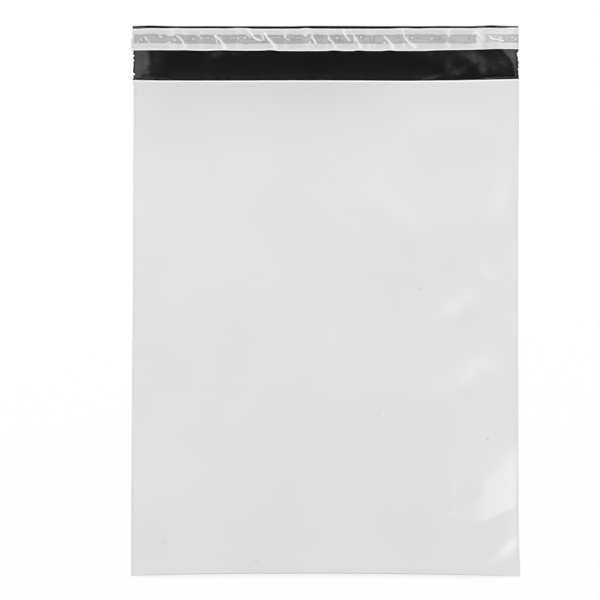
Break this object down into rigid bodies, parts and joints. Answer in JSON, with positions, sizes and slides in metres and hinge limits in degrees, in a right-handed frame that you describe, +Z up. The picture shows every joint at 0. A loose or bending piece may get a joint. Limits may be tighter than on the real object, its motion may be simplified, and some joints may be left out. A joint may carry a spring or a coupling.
{
  "type": "poly mailer bag",
  "caption": "Flat film mailer bag, white outside and black inside, open flap with an adhesive strip under a creased release liner.",
  "frame": {"origin": "centre of the bag's footprint, on the surface it lies on", "axes": "+X across the bag, +Y from the bottom fold towards the mouth and flap, +Z up, away from the surface, out of the front ply"},
  "size_m": [0.3514, 0.4966, 0.0079],
  "materials": {
    "film": "co-extruded polyethylene film, soft sheen, white outside and black inside",
    "adhesive": "clear pressure-sensitive hot melt",
    "liner": "thin translucent release film, creased"
  },
  "bodies": {
    "root": {"mailer_bag": "film", "adhesive_strip": "adhesive", "release_liner": "liner"}
  },
  "joints": []
}
